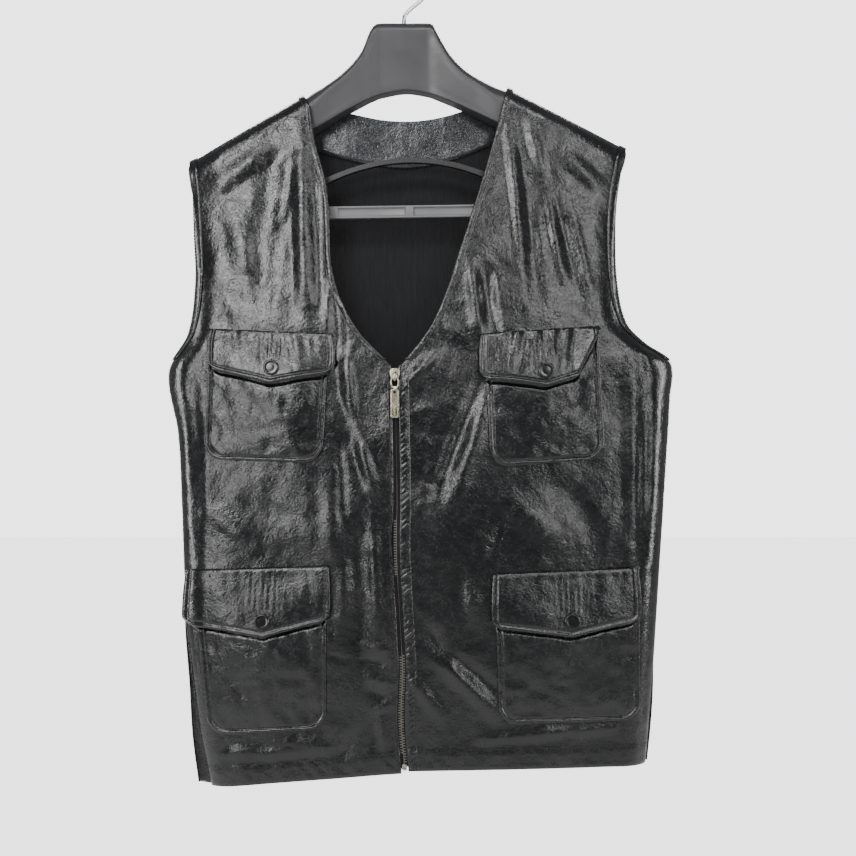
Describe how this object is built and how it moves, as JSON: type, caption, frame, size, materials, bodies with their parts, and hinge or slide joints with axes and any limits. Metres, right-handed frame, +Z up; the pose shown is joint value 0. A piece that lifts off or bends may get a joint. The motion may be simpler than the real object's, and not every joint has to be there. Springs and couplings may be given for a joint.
{
  "type": "leather vest on a hanger",
  "caption": "Black leather vest with a zip front, V neck, patch pockets with pointed snap flaps, hung on a broad plastic hanger with a wire hook.",
  "frame": {"origin": "inside top of the hanger's hook, where a rail carries it", "axes": "+Z up, +X to the viewer's right (the wearer's left), the front faces -Y"},
  "size_m": [0.5032, 0.0755, 0.8219],
  "materials": {
    "hide": "semi-gloss black nappa with fine grain",
    "lining": "dark ribbed lining cloth",
    "zip_tape": "black woven tape",
    "snap": "black lacquered cap",
    "zip_metal": "pale polished metal",
    "hanger_plastic": "satin black moulding",
    "hook_wire": "bright wire"
  },
  "bodies": {
    "root": {"right_front": "hide", "left_front": "hide", "back": "hide", "back_lining": "lining", "back_neck_facing": "hide", "right_neck_band": "hide", "right_armhole_front_band": "hide", "right_armhole_back_band": "hide", "left_neck_band": "hide", "left_armhole_front_band": "hide", "left_armhole_back_band": "hide", "back_neck_band": "hide", "right_zip_tape": "zip_tape", "left_zip_tape": "zip_tape", "zip_strip": "hide", "right_chest_pocket": "hide", "right_chest_flap": "hide", "right_chest_snap": "snap", "left_chest_pocket": "hide", "left_chest_flap": "hide", "left_chest_snap": "snap", "right_hip_pocket": "hide", "right_hip_flap": "hide", "right_hip_snap": "snap", "left_hip_pocket": "hide", "left_hip_flap": "hide", "left_hip_snap": "snap", "zip_slider": "zip_metal", "zip_stop": "zip_metal", "hanger_body": "hanger_plastic", "trouser_bar": "hanger_plastic", "hanger_bow": "hanger_plastic", "hook": "hook_wire"},
    "pull": {"zip_pull": "zip_metal"}
  },
  "joints": [
    {"name": "pull_hinge", "type": "hinge", "parent": "root", "child": "pull", "pos_m": [-0.0082, -0.0437, -0.4159], "axis": [-1, 0, 0], "range_deg": [0, 150]}
  ]
}
